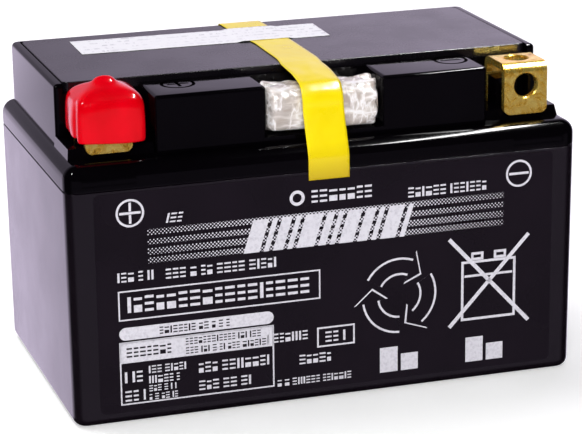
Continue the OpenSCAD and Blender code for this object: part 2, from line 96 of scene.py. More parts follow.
def make_world():
    """Studio surround seen only in reflections: a bright sweep low behind the object, a wall
    above it that is brighter to the right, and darkness in front and straight below."""
    world = bpy.data.worlds.new("studio")
    world.use_nodes = True
    bpy.context.scene.world = world
    tree = world.node_tree
    tree.nodes.clear()
    coords = tree.nodes.new("ShaderNodeTexCoord")
    split = tree.nodes.new("ShaderNodeSeparateXYZ")
    tree.links.new(coords.outputs["Generated"], split.inputs[0])

    def smooth(axis, start, end, low=0.0, high=1.0):
        """A smooth step from low to high as that axis of the direction goes from start to end."""
        step = tree.nodes.new("ShaderNodeMapRange")
        step.interpolation_type = "SMOOTHSTEP"
        for key, value in zip(("From Min", "From Max", "To Min", "To Max"), (start, end, low, high)):
            step.inputs[key].default_value = value
        tree.links.new(split.outputs[axis], step.inputs["Value"])
        return step.outputs["Result"]

    def combine(operation, first, second):
        node = tree.nodes.new("ShaderNodeMath")
        node.operation = operation
        for socket, value in zip(node.inputs, (first, second)):
            if isinstance(value, float):
                socket.default_value = value
            else:
                tree.links.new(value, socket)
        return node.outputs[0]

    wall = smooth("X", 0.16, 0.42, 0.55, 1.25)
    sweep = smooth("Z", 0.02, -0.06, 0.0, 1.5)
    above = smooth("Z", -0.06, 0.02)
    level = combine("ADD", combine("MULTIPLY", wall, above), sweep)
    level = combine("MULTIPLY", level, smooth("Y", 0.35, 0.72))
    level = combine("MULTIPLY", level, smooth("Z", -0.52, -0.40))
    level = combine("MULTIPLY", level, smooth("Z", 0.95, 0.45, 0.25, 1.0))
    glow = combine("MULTIPLY", smooth("Y", -0.45, -0.75, 0.0, 0.30), smooth("Z", -0.02, -0.14))
    level = combine("ADD", combine("ADD", level, glow), 0.006)
    background = tree.nodes.new("ShaderNodeBackground")
    background.inputs["Color"].default_value = (0.88, 0.77, 1.0, 1)
    output = tree.nodes.new("ShaderNodeOutputWorld")
    tree.links.new(level, background.inputs["Strength"])
    tree.links.new(background.outputs[0], output.inputs["Surface"])


def make_stage():
    """Camera, surround, four soft boxes and the pale floor."""
    bpy.context.scene.view_settings.view_transform = "Standard"
    make_camera()
    make_world()
    area_light("front_fill", (-0.25, -1.2, 0.75), (0, 0, 0.05), (0.9, 0.7), 15, glossy=False)
    area_light("overhead_strip", (0.37, -0.20, 0.81), (0.04, -0.04, 0.07), (0.66, 0.035), 14.0,
               diffuse=False, along=(0.10, 0.66, 0.13))
    area_light("small_window", (-0.62, -0.35, 0.75), (-0.06, -0.03, 0.09), (0.10, 0.14), 6.0,
               diffuse=False)
    area_light("floor_fill", (-0.5, 0.7, 1.5), (0, 0, 0), (1.3, 1.3), 24, glossy=False)
    bpy.ops.mesh.primitive_plane_add(size=30)
    floor = bpy.context.object
    floor.name = "floor"
    floor.visible_glossy = False
    floor.data.materials.append(simple_material("floor_paper", (0.92, 0.92, 0.92), 0.9, 0.33))


# ------------------------------------------------------------------ material helpers

class Shader:
    """A principled material and short calls for the nodes that feed it."""

    def __init__(self, name):
        self.material = bpy.data.materials.new(name)
        self.material.use_nodes = True
        self.tree = self.material.node_tree
        self.base = self.tree.nodes["Principled BSDF"]
        self.out = self.tree.nodes["Material Output"]
        self.place = self.tree.nodes.new("ShaderNodeTexCoord").outputs["Object"]

    def node(self, kind, **settings):
        made = self.tree.nodes.new(kind)
        for key, value in settings.items():
            setattr(made, key, value)
        return made

    def link(self, source, target):
        self.tree.links.new(source, target)

    def value(self, **sockets):
        for key, value in sockets.items():
            self.base.inputs[key.replace("_", " ")].default_value = value

    def scaled(self, sizes):
        """The place in the row frame, stretched by sizes."""
        mapping = self.node("ShaderNodeMapping")
        mapping.inputs["Scale"].default_value = sizes
        self.link(self.place, mapping.inputs["Vector"])
        return mapping.outputs["Vector"]

    def noise(self, feature, detail=3.0, rough=0.5, stretch=None, distortion=0.0):
        """Noise whose features are that many metres across."""
        made = self.node("ShaderNodeTexNoise")
        made.inputs["Scale"].default_value = 1.0 / feature
        made.inputs["Detail"].default_value = detail
        made.inputs["Roughness"].default_value = rough
        made.inputs["Distortion"].default_value = distortion
        self.link(self.scaled(stretch) if stretch else self.place, made.inputs["Vector"])
        return made.outputs["Fac"]

    def ramp(self, fac, *stops):
        made = self.node("ShaderNodeValToRGB")
        elements = made.color_ramp.elements
        while len(elements) < len(stops):
            elements.new(0.5)
        for element, (position, colour) in zip(elements, stops):
            element.position = position
            element.color = (*colour, 1) if len(colour) == 3 else colour
        self.link(fac, made.inputs["Fac"])
        return made.outputs["Color"]

    def remap(self, fac, low, high, from_low=0.0, from_high=1.0):
        made = self.node("ShaderNodeMapRange")
        made.inputs["From Min"].default_value = from_low
        made.inputs["From Max"].default_value = from_high
        made.inputs["To Min"].default_value = low
        made.inputs["To Max"].default_value = high
        self.link(fac, made.inputs["Value"])
        return made.outputs["Result"]

    def math(self, operation, a, b=None):
        made = self.node("ShaderNodeMath", operation=operation)
        for socket, x in zip(made.inputs, (a, b)):
            if isinstance(x, (int, float)):
                socket.default_value = x
            elif x is not None:
                self.link(x, socket)
        return made.outputs[0]

    def mix(self, fac, a, b):
        made = self.node("ShaderNodeMix", data_type="RGBA")
        for socket, x in zip((made.inputs[0], made.inputs[6], made.inputs[7]), (fac, a, b)):
            if isinstance(x, (int, float)):
                socket.default_value = x
            elif isinstance(x, tuple):
                socket.default_value = (*x, 1)
            else:
                self.link(x, socket)
        return made.outputs[2]

    def bump(self, height, depth, strength=1.0, under=None):
        """Relief that is depth metres deep."""
        made = self.node("ShaderNodeBump")
        made.inputs["Distance"].default_value = depth
        made.inputs["Strength"].default_value = strength
        self.link(height, made.inputs["Height"])
        if under is not None:
            self.link(under, made.inputs["Normal"])
        return made.outputs["Normal"]

    def finish(self, colour=None, roughness=None, normal=None):
        for key, socket in (("Base Color", colour), ("Roughness", roughness), ("Normal", normal)):
            if socket is not None:
                self.link(socket, self.base.inputs[key])
        return self.material


def simple_material(name, colour, roughness, glow=0.0):
    shader = Shader(name)
    shader.value(Base_Color=(*colour, 1), Roughness=roughness, Emission_Strength=glow)
    shader.value(Emission_Color=(1, 1, 1, 1))
    return shader.material


def black_plastic(name, colour, low_rough, high_rough, waviness=4e-6, grain=1.5e-6, specular=0.5):
    """Moulded polypropylene: deep colour, uneven gloss, slight sink waves and fine grain."""
    shader = Shader(name)
    cloud = shader.noise(0.018, 4, 0.55)
    fine = shader.noise(0.00035, 2, 0.6)
    tint = shader.ramp(cloud, (0.3, colour), (0.7, tuple(1.5 * c for c in colour)))
    gloss = shader.remap(shader.math("ADD", cloud, shader.math("MULTIPLY", fine, 0.4)),
                         low_rough, high_rough, 0.35, 1.05)
    waves = shader.bump(shader.noise(0.012, 2, 0.4), waviness)
    normal = shader.bump(fine, grain, 1.0, waves)
    shader.base.inputs["Specular IOR Level"].default_value = specular
    return shader.finish(tint, gloss, normal)


def brass():
    """Bright brass with rolling marks, faint tarnish and handling stains."""
    shader = Shader("terminal_brass")
    stain = shader.noise(0.0030, 6, 0.65, distortion=0.8)
    rolled = shader.noise(0.0006, 3, 0.6, stretch=(1, 1, 0.12))
    colour = shader.ramp(stain, (0.32, (0.24, 0.10, 0.012)), (0.42, (0.90, 0.53, 0.06)),
                         (0.60, (1.0, 0.76, 0.18)))
    gloss = shader.remap(stain, 0.34, 0.16, 0.3, 0.7)
    normal = shader.bump(rolled, 3e-6)
    shader.value(Metallic=0.84)
    return shader.finish(colour, gloss, normal)


def satin_rubber(name, colour, rough=0.6):
    """Soft rubber or paste with a fine mottled surface."""
    shader = Shader(name)
    mottle = shader.noise(0.0012, 4, 0.6)
    tint = shader.ramp(mottle, (0.3, tuple(0.7 * c for c in colour)), (0.7, tuple(1.25 * c for c in colour)))
    gloss = shader.remap(mottle, rough - 0.1, rough + 0.1)
    return shader.finish(tint, gloss, shader.bump(mottle, 2e-5))


def cast_lead(name, colour):
    """Dull cast metal with flow marks and an uneven oxide bloom."""
    shader = Shader(name)
    bloom = shader.noise(0.004, 5, 0.65, distortion=1.0)
    pits = shader.noise(0.0005, 3, 0.7)
    shader.value(Metallic=0.85)
    tint = shader.ramp(bloom, (0.3, tuple(0.6 * c for c in colour)), (0.7, tuple(1.2 * c for c in colour)))
    return shader.finish(tint, shader.remap(bloom, 0.35, 0.6), shader.bump(pits, 3e-5))


def glass_mat():
    """White felted glass fibre: short fibres that cross at random."""
    shader = Shader("glass_mat")
    along = shader.noise(0.0004, 3, 0.7, stretch=(1, 0.15, 1))
    across = shader.noise(0.0004, 3, 0.7, stretch=(1, 1, 0.15))
    fibres = shader.math("MAXIMUM", along, across)
    tint = shader.ramp(fibres, (0.35, (0.62, 0.62, 0.58)), (0.65, (0.92, 0.92, 0.89)))
    shader.value(Roughness=0.95)
    return shader.finish(tint, None, shader.bump(fibres, 6e-5))


def steel():
    """Zinc-plated bolts: bright blue-grey with a faint yellow cast and turning marks."""
    shader = Shader("bolt_steel")
    plating = shader.noise(0.003, 4, 0.6)
    turning = shader.noise(0.0005, 2, 0.5, stretch=(6, 1, 1))
    shader.value(Metallic=1.0)
    tint = shader.ramp(plating, (0.35, (0.50, 0.47, 0.42)), (0.65, (0.82, 0.81, 0.80)))
    return shader.finish(tint, shader.remap(plating, 0.22, 0.38), shader.bump(turning, 4e-6))


def vinyl():
    """Red dip-moulded vinyl: very glossy, with slow waves where the dip ran."""
    shader = Shader("cap_vinyl")
    runs = shader.noise(0.007, 2, 0.4, stretch=(1, 1, 0.5))
    specks = shader.noise(0.0006, 2, 0.5)
    tint = shader.ramp(runs, (0.3, (0.62, 0.0, 0.004)), (0.7, (0.82, 0.0, 0.010)))
    shader.value(Coat_Weight=0.25, Coat_Roughness=0.03)
    shader.base.inputs["Specular IOR Level"].default_value = 0.15
    normal = shader.bump(specks, 1.2e-6, 1.0, shader.bump(runs, 6e-5))
    return shader.finish(tint, shader.remap(specks, 0.10, 0.2), normal)


def front_film():
    """Black printed film: slightly lifted black with a fine orange-peel gloss."""
    shader = Shader("front_film")
    cloud = shader.noise(0.02, 3, 0.5)
    peel = shader.noise(0.0011, 2, 0.5)
    tint = shader.ramp(cloud, (0.3, (0.0030, 0.0010, 0.0032)), (0.7, (0.0055, 0.0022, 0.0060)))
    shader.base.inputs["Specular IOR Level"].default_value = 0.35
    return shader.finish(tint, shader.remap(cloud, 0.22, 0.34), shader.bump(peel, 1.5e-6))


def white_ink():
    """Screen-printed white: a little uneven in cover, with a faint screen mesh."""
    shader = Shader("white_ink")
    cover = shader.noise(0.0009, 3, 0.6)
    tint = shader.ramp(cover, (0.25, (0.50, 0.48, 0.54)), (0.55, (0.66, 0.64, 0.70)))
    return shader.finish(tint, shader.remap(cover, 0.35, 0.5), shader.bump(cover, 4e-6))


def halftone(middle, reach):
    """Rows of white diamonds on the film that shrink away from the middle of the band."""
    shader = Shader("halftone_ink")
    split = shader.node("ShaderNodeSeparateXYZ")
    shader.link(shader.place, split.inputs[0])
    pitch = 0.00105

    def wave(axis):
        turns = shader.math("MULTIPLY", split.outputs[axis], math.tau / pitch)
        return shader.math("COSINE", turns)

    cells = shader.math("MULTIPLY", wave("X"), wave("Z"))
    away = shader.math("ABSOLUTE", shader.math("SUBTRACT", split.outputs["X"], middle))
    limit = shader.remap(away, -0.10, 0.52, 0.0, reach)
    ink = shader.math("GREATER_THAN", cells, limit)
    tint = shader.mix(ink, (0.004, 0.0016, 0.0045), (0.60, 0.58, 0.64))
    return shader.finish(tint, shader.remap(ink, 0.26, 0.42))


def paper_label():
    """Glossy white label with rows of short faint grey dashes in place of its print."""
    shader = Shader("label_paper")
    split = shader.node("ShaderNodeSeparateXYZ")
    shader.link(shader.place, split.inputs[0])
    rows = shader.math("SINE", shader.math("MULTIPLY", split.outputs["Y"], math.tau / 0.0036))
    in_row = shader.math("GREATER_THAN", rows, 0.35)
    dash = shader.noise(0.0016, 2, 0.7, stretch=(1, 0.35, 1))
    broken = shader.math("GREATER_THAN", dash, 0.53)
    fade = shader.remap(shader.noise(0.02, 2, 0.5), 0.15, 0.7, 0.35, 0.65)
    print_mask = shader.math("MULTIPLY", shader.math("MULTIPLY", in_row, broken), fade)
    tint = shader.mix(print_mask, (0.90, 0.90, 0.93), (0.50, 0.49, 0.54))
    fibre = shader.noise(0.0007, 3, 0.6)
    return shader.finish(tint, shader.remap(fibre, 0.32, 0.45), shader.bump(fibre, 3e-6))


def tape_film():
    """Yellow adhesive film: strong colour, wet gloss, and a painted shade that darkens its low end."""
    shader = Shader("tape_film")
    lines = shader.noise(0.0011, 3, 0.6, stretch=(1, 0.08, 0.08))
    patches = shader.noise(0.012, 3, 0.5)
    free = shader.ramp(patches, (0.3, (0.86, 0.66, 0.0)), (0.7, (0.96, 0.76, 0.0)))
    height = shader.node("ShaderNodeSeparateXYZ")
    shader.link(shader.place, height.inputs["Vector"])
    low_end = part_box("hold_down_tape")[0].z
    # painted shade: the lowest 10 mm of the tape is mixed towards a dark yellow
    low_end_shade = shader.remap(height.outputs["Z"], 1.0, 0.0, low_end, low_end + 10 * MM)
    tint = shader.mix(low_end_shade, free, (0.52, 0.36, 0.0))
    shader.base.inputs["Specular IOR Level"].default_value = 0.4
    shader.value(Coat_Weight=0.15, Coat_Roughness=0.08)
    return shader.finish(tint, shader.remap(patches, 0.22, 0.36), shader.bump(lines, 4e-6))


def bag_film():
    """Clear crinkled film: see-through between white, sharply folded creases."""
    shader = Shader("bag_film")

    def folds(size, detail, stretch=(1, 1, 1)):
        wave = shader.math("SUBTRACT", shader.noise(size, detail, 0.5, stretch=stretch), 0.5)
        return shader.math("ABSOLUTE", wave)

    broad = folds(0.0080, 4, (0.35, 1, 1.5))
    small = folds(0.0050, 4, (1.4, 1, 0.45))
    near = shader.math("MINIMUM", broad, small)
    milk = shader.remap(near, 0.96, 0.62, 0.0, 0.06)
    tint = shader.ramp(near, (0.0, (1.0, 0.98, 1.0)), (0.02, (0.92, 0.85, 0.82)), (0.12, (0.72, 0.60, 0.53)))
    shader.value(Coat_Weight=0.7, Coat_Roughness=0.05)
    shader.link(milk, shader.base.inputs["Alpha"])
    normal = shader.bump(small, 2.5e-4, 1.0, shader.bump(broad, 6e-4))
    return shader.finish(tint, shader.remap(small, 0.06, 0.16, 0.0, 0.2), normal)


def assign(node, material):
    obj = NODES[node]
    obj.data.materials.clear()
    obj.data.materials.append(material)


# ------------------------------------------------------------------ CAD parts

def soften(node, width, angle=32, segments=2, tidy=True):
    """Clean triangles away and round the sharp edges of a CAD part, with modifiers only."""
    obj = NODES[node]
    normals = obj.data.attributes.get("custom_normal")
    if normals:
        obj.data.attributes.remove(normals)
    obj.data.polygons.foreach_set("use_smooth", [True] * len(obj.data.polygons))
    weld = obj.modifiers.new("weld", "WELD")
    weld.merge_threshold = 2e-6
    if tidy:
        clean = obj.modifiers.new("clean", "DECIMATE")
        clean.decimate_type = "DISSOLVE"
        clean.angle_limit = math.radians(0.6)
    bevel = obj.modifiers.new("bevel", "BEVEL")
    bevel.width = width
    bevel.segments = segments
    bevel.limit_method = "ANGLE"
    bevel.angle_limit = math.radians(angle)
    bevel.harden_normals = True
    bevel.miter_outer = "MITER_ARC"


def dress_cad():
    """Materials for every CAD node that stays, and soft edges where they show."""
    assign("container", black_plastic("container_plastic", (0.0042, 0.0024, 0.0045), 0.17, 0.27))
    gloss = black_plastic("cover_plastic", (0.0010, 0.0007, 0.0012), 0.05, 0.10, specular=0.10)
    for node in ("cover", "positive_terminal_core", "negative_terminal_core"):
        assign(node, gloss)
    assign("vent_cover", black_plastic("vent_cover_plastic", (0.0035, 0.0027, 0.0042), 0.20, 0.34,
                                       8e-6, 2.5e-6))
    metal = brass()
    for name in ("positive_terminal", "negative_terminal"):
        assign(name, metal)
        soften(name, 0.35 * MM, 30, 3)
    soften("container", 0.15 * MM)
    soften("cover", 0.25 * MM, tidy=False)
    soften("vent_cover", 0.35 * MM, 32, 3)
    groups = {
        "positive_plates": satin_rubber("positive_plate", (0.12, 0.05, 0.025), 0.85),
        "negative_plates": satin_rubber("negative_plate", (0.22, 0.23, 0.25), 0.75),
        "separators": glass_mat(),
        "intercell_connector": cast_lead("lead", (0.42, 0.43, 0.46)),
        "safety_valve": satin_rubber("valve_rubber", (0.03, 0.03, 0.03), 0.55),
        "post_seal": satin_rubber("seal_rubber", (0.04, 0.12, 0.35), 0.5),
        "flame_arrestor": satin_rubber("porous_ceramic", (0.72, 0.68, 0.60), 0.9),
        "terminal_bolts": steel(),
    }
    groups["_post"] = groups["intercell_connector"]
    groups["terminal_nuts"] = groups["terminal_bolts"]
    for name in NODES:
        for part, material in groups.items():
            if part in name and not NODES[name].get("dressed"):
                assign(name, material)
                NODES[name]["dressed"] = True


# ------------------------------------------------------------------ mesh helpers

def new_piece(name, mesh, material, body, replaced=(), smooth=True):
    """A named piece that rides on a body and takes the place of CAD nodes."""
    piece = bpy.data.objects.new(name, mesh)
    bpy.context.scene.collection.objects.link(piece)
    mesh.materials.append(material)
    if smooth:
        mesh.polygons.foreach_set("use_smooth", [True] * len(mesh.polygons))
    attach(piece, body)
    if replaced:
        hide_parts(*replaced)
    return piece


def mesh_from(name, bm):
    bmesh.ops.recalc_face_normals(bm, faces=bm.faces)
    mesh = bpy.data.meshes.new(name)
    bm.to_mesh(mesh)
    bm.free()
    return mesh


def sheet_mesh(rows, closed_rows=False):
    """Quads between rows of points; closed_rows joins each row's last point to its first."""
    bm = bmesh.new()
    verts = [[bm.verts.new(p) for p in row] for row in rows]
    last = len(rows[0]) if closed_rows else len(rows[0]) - 1
    for low, high in zip(verts, verts[1:]):
        for k in range(last):
            j = (k + 1) % len(low)
            bm.faces.new((low[k], low[j], high[j], high[k]))
    return bm, verts


def thicken(piece, thickness, offset=-1.0):
    solid = piece.modifiers.new("thickness", "SOLIDIFY")
    solid.thickness = thickness
    solid.offset = offset


def smoothstep(low, high, value):
    t = min(max((value - low) / (high - low), 0.0), 1.0)
    return t * t * (3 - 2 * t)


def bell(value, middle, width):
    return math.exp(-((value - middle) / width) ** 2)


def spline(points, step):
    """Points every step along a smooth curve through the given ones."""
    out = []
    for k in range(len(points) - 1):
        a, b = points[max(k - 1, 0)], points[k]
        c, d = points[k + 1], points[min(k + 2, len(points) - 1)]
        count = max(2, round((c - b).length / step))
        for i in range(count):
            t = i / count
            out.append(0.5 * (2 * b + (c - a) * t + (2 * a - 5 * b + 4 * c - d) * t * t
                              + (3 * b - a - 3 * c + d) * t ** 3))
    out.append(points[-1])
    return out


# ------------------------------------------------------------------ red cap

def cap_point(angle, inset, z, low, high):
    """A point of the cap's outer skin at that angle, that far in from its full outline."""
    middle = (low + high) / 2
    half = (high - low) / 2
    squareness = 2.2 + 4.6 * (1 - smoothstep(1.0 * MM, 7.2 * MM, inset))
    c, s = math.cos(angle), math.sin(angle)
    a, b = half.x - inset, half.y - inset
    reach = ((abs(c) / a) ** squareness + (abs(s) / b) ** squareness) ** (-1 / squareness)
    point = Vector((middle.x + reach * c, middle.y + reach * s, z))
    wall = 1 - smoothstep(0.3 * MM, 2.5 * MM, inset)
    left = smoothstep(0.72, 0.97, -(point.x - middle.x) / half.x) * wall
    fold = bell(point.y, low.y + CAP_FOLD, 1.3 * MM)
    bulge = bell(point.y, low.y + 8.5 * MM, 3.2 * MM) * bell(z, low.z + 4.5 * MM, 3.5 * MM)
    point.x += left * (0.95 * fold * smoothstep(13 * MM, 9.5 * MM, z - low.z) - 0.25 * bulge) * MM
    front = smoothstep(0.75, 0.97, -(point.y - middle.y) / half.y) * wall
    point.y += front * 0.35 * MM * bell(point.x, middle.x + 1.5 * MM, 4.5 * MM) * bell(
        z, low.z + 5.5 * MM, 4.0 * MM)
    return point


def make_cap():
    """Soft cap: straight walls with a fold, a domed top and a drip nipple; open below."""
    low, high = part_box("positive_terminal_cap")
    low = low + Vector((-0.1, 0.1, 0)) * MM
    high = high - Vector((-0.3, 0.1, 0)) * MM
    rises = [(0.10, 0.0), (0.0, 0.7), (0.0, 2.5), (0.0, 4.5), (0.03, 6.5), (0.10, 8.8), (0.30, 10.6),
             (0.8, 12.0), (1.8, 13.1), (3.2, 14.0), (4.7, 14.7), (5.8, 15.15), (6.5, 15.6),
             (7.0, 16.1), (7.6, 16.65), (8.4, 17.0)]
    count = 96
    rows = []
    for inset, rise in rises:
        row = []
        for k in range(count):
            angle = math.tau * k / count
            point = cap_point(angle, inset * MM, low.z + rise * MM, low, high)
            back = (point.y - low.y) / (high.y - low.y)
            left = smoothstep(0.2, 0.9, -math.cos(angle))
            hem = (1.9 * left * smoothstep(0.1, 0.85, back)
                   + 0.6 * left * bell(point.y, low.y + CAP_FOLD, 1.4 * MM)
                   + 0.35 * math.sin(2 * angle + 0.6)) * MM
            point.z += hem * (1 - smoothstep(0.0, 6.0, rise))
            row.append(point)
        rows.append(row)
    bm, verts = sheet_mesh(rows, True)
    top = bm.verts.new(Vector(((low.x + high.x) / 2, (low.y + high.y) / 2, low.z + 17.15 * MM)))
    for k in range(count):
        bm.faces.new((verts[-1][k], verts[-1][(k + 1) % count], top))
    mesh = mesh_from("red_cap", bm)
    cap = new_piece("red_cap", mesh, vinyl(), "terminal_cap", ["positive_terminal_cap"])
    thicken(cap, 0.85 * MM)
    rounder = cap.modifiers.new("round", "SUBSURF")
    rounder.levels = rounder.render_levels = 1


# ------------------------------------------------------------------ yellow tape

def make_tape():
    """Adhesive tape from the front over the bag and the top to the back of the tower."""
    low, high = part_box("hold_down_tape")
    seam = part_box("cover")[0].z
    ledge = seam + LEDGE_RISE
    bag_low, bag_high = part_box("hardware_bag")
    plate_low, plate_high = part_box("vent_cover")
    front, top, back = low.y + 0.16 * MM, plate_high.z + 0.17 * MM, high.y - 0.16 * MM

    def mm(y, z):
        return Vector((0, y, z))

    route = [
        mm(front, low.z), mm(front - 0.03 * MM, seam - 0.6 * MM), mm(front, seam + 1.4 * MM),
        mm(front, ledge - 4.0 * MM), mm(front + 0.35 * MM, ledge - 2.4 * MM),
        mm(bag_low.y - 3.6 * MM, bag_low.z + 1.2 * MM), mm(bag_low.y - 1.9 * MM, bag_high.z - 7.2 * MM),
        mm(bag_low.y - 1.5 * MM, bag_high.z - 4.2 * MM), mm(bag_low.y - 0.6 * MM, bag_high.z - 1.7 * MM),
        mm(bag_low.y + 1.4 * MM, bag_high.z + 0.25 * MM), mm(bag_low.y + 4.6 * MM, bag_high.z + 1.05 * MM),
        mm(bag_low.y + 9.6 * MM, bag_high.z + 1.75 * MM), mm(plate_low.y - 0.8 * MM, top - 0.05 * MM),
        mm(plate_low.y + 2 * MM, top), mm(0, top), mm(back - 12 * MM, top), mm(back - 1.7 * MM, top),
        mm(back - 0.5 * MM, top - 0.4 * MM), mm(back, top - 1.7 * MM), mm(back, (top + low.z) / 2 + 4 * MM),
        mm(back, top - 13 * MM)]
    line = spline(route, 0.8 * MM)
    edges = ((-1.0, -6.2, 5.8), (-0.44, -6.1, 5.9), (-0.30, -5.3, 6.3), (0.2, -5.1, 6.35),
             (0.55, -6.8, 6.0), (1.0, -7.5, 5.1))
    columns = 16
    total = sum((b - a).length for a, b in zip(line, line[1:]))
    rows, run = [], 0.0
    for k, point in enumerate(line):
        if k:
            run += (point - line[k - 1]).length
        place = point.y / -low.y if point.z > plate_low.z else (-1.0 if point.y < 0 else 1.0)
        place = max(-1.0, min(1.0, place))
        for (p0, l0, r0), (p1, l1, r1) in zip(edges, edges[1:]):
            if p0 <= place <= p1:
                t = (place - p0) / (p1 - p0)
                left, right = l0 + (l1 - l0) * t, r0 + (r1 - r0) * t
        ahead = line[min(k + 1, len(line) - 1)] - line[max(k - 1, 0)]
        out = Vector((0, -ahead.z, ahead.y)).normalized()
        free = smoothstep(0.10, 0.16, run / total) * smoothstep(0.42, 0.36, run / total)
        row = []
        for i in range(columns + 1):
            across = i / columns
            x = (left + (right - left) * across) * MM
            ripple = noise.noise(Vector((x * 260, run * 160, 3.1))) * 0.22 * free
            ripple += 0.05 * noise.noise(Vector((x * 500, run * 400, 8.7)))
            sag = -0.25 * free * (2 * across - 1) ** 2
            row.append(point + Vector((x, 0, 0)) + out * (ripple + sag + 0.05) * MM)
        rows.append(row)
    bm, _ = sheet_mesh(rows)
    tape = new_piece("yellow_tape", mesh_from("yellow_tape", bm), tape_film(), "shipping_kit",
                     ["hold_down_tape"])
    thicken(tape, 0.09 * MM, 0.0)


# ------------------------------------------------------------------ bag

def crumple(point, seed, scale):
    """Sharp-creased height from crossing triangle waves, as in handled plastic film."""
    dice = random.Random(seed)
    warp = noise.noise_vector(point * 90 + Vector((seed, 0, 0))) * 0.0016
    total = 0.0
    for _ in range(5):
        direction = Vector([dice.uniform(-1, 1) for _ in range(3)]).normalized()
        turn = (point + warp).dot(direction) / scale + dice.random()
        total += abs(turn - math.floor(turn) - 0.5) * 2 - 0.5
    return total / 5


def make_bag():
    """Clear bag round the bolts: a slumped pouch with creased film and a ruffled end."""
    low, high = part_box("hardware_bag")
    size = high - low
    long_steps, round_steps = 120, 132
    rows = []
    for i in range(long_steps + 1):
        t = i / long_steps
        x = low.x + size.x * t
        end = min(t, 1 - t)
        full = smoothstep(-0.02, 0.05, end) ** 0.5
        lift = 0.5 * MM * smoothstep(0.75, 0.0, t)
        pinch = 0.82 + 0.18 * full
        row = []
        for k in range(round_steps):
            angle = math.tau * k / round_steps
            c, s = math.cos(angle), math.sin(angle)
            squareness = 2.9 + 4.0 * smoothstep(-0.1, -0.6, s)
            reach = (abs(c) ** squareness + abs(s) ** squareness) ** (-1 / squareness)
            y = c * reach * (size.y / 2 - 0.9 * MM) * (0.30 + 0.70 * full)
            z = s * reach * (size.z / 2 - (0.75 if s > 0 else 0.2) * MM) * pinch
            middle = Vector((x, (low.y + high.y) / 2 - 0.2 * MM, (low.z + high.z) / 2))
            middle.z += (1 - pinch) * (2.6 if t > 0.5 else 1.6) * MM
            point = middle + Vector((0, y, z))
            under = smoothstep(0.1, -0.9, s) * smoothstep(-0.2, -0.9, c)
            point.z += under * lift
            outward = Vector((0, c, s))
            ruffle = smoothstep(0.80, 1.0, t) * math.sin(9 * angle + 1.3) * 0.8
            ruffle += smoothstep(0.14, 0.0, t) * math.sin(7 * angle + 0.4) * 0.6
            crease = 1.2 * crumple(point, 5, 9.5 * MM) + 0.7 * crumple(point, 11, 5.2 * MM)
            crease += 0.55 * crumple(point, 23, 2.8 * MM)
            crease *= 1 - 0.85 * smoothstep(-0.2, -0.8, s)
            tape_press = bell(x, 0.2 * MM, 6.0 * MM) * smoothstep(0.0, 0.6, s - 0.6 * c)
            push = (ruffle + 0.15 + crease * 0.8 * (1 - 0.85 * tape_press) - 0.45 * tape_press) * MM
            point += outward * push
            point.x += 0.45 * MM * crumple(point, 31, 5 * MM) * (1 - smoothstep(0.0, 0.1, end))
            point.y = min(max(point.y, low.y + 0.1 * MM), high.y - 0.1 * MM)
            point.z = min(max(point.z, low.z + 0.1 * MM), high.z - 0.05 * MM)
            row.append(point)
        rows.append(row)
    bm, verts = sheet_mesh(rows, True)
    for ring in (verts[0], verts[-1]):
        half = round_steps // 2
        for k in range(half):
            quad = [ring[k], ring[k + 1], ring[(round_steps - k - 1) % round_steps],
                    ring[(round_steps - k) % round_steps]]
            unique = list(dict.fromkeys(quad))
            if len(unique) > 2:
                bm.faces.new(unique)
    new_piece("clear_bag", mesh_from("clear_bag", bm), bag_film(), "shipping_kit",
              ["hardware_bag"])


# ------------------------------------------------------------------ labels

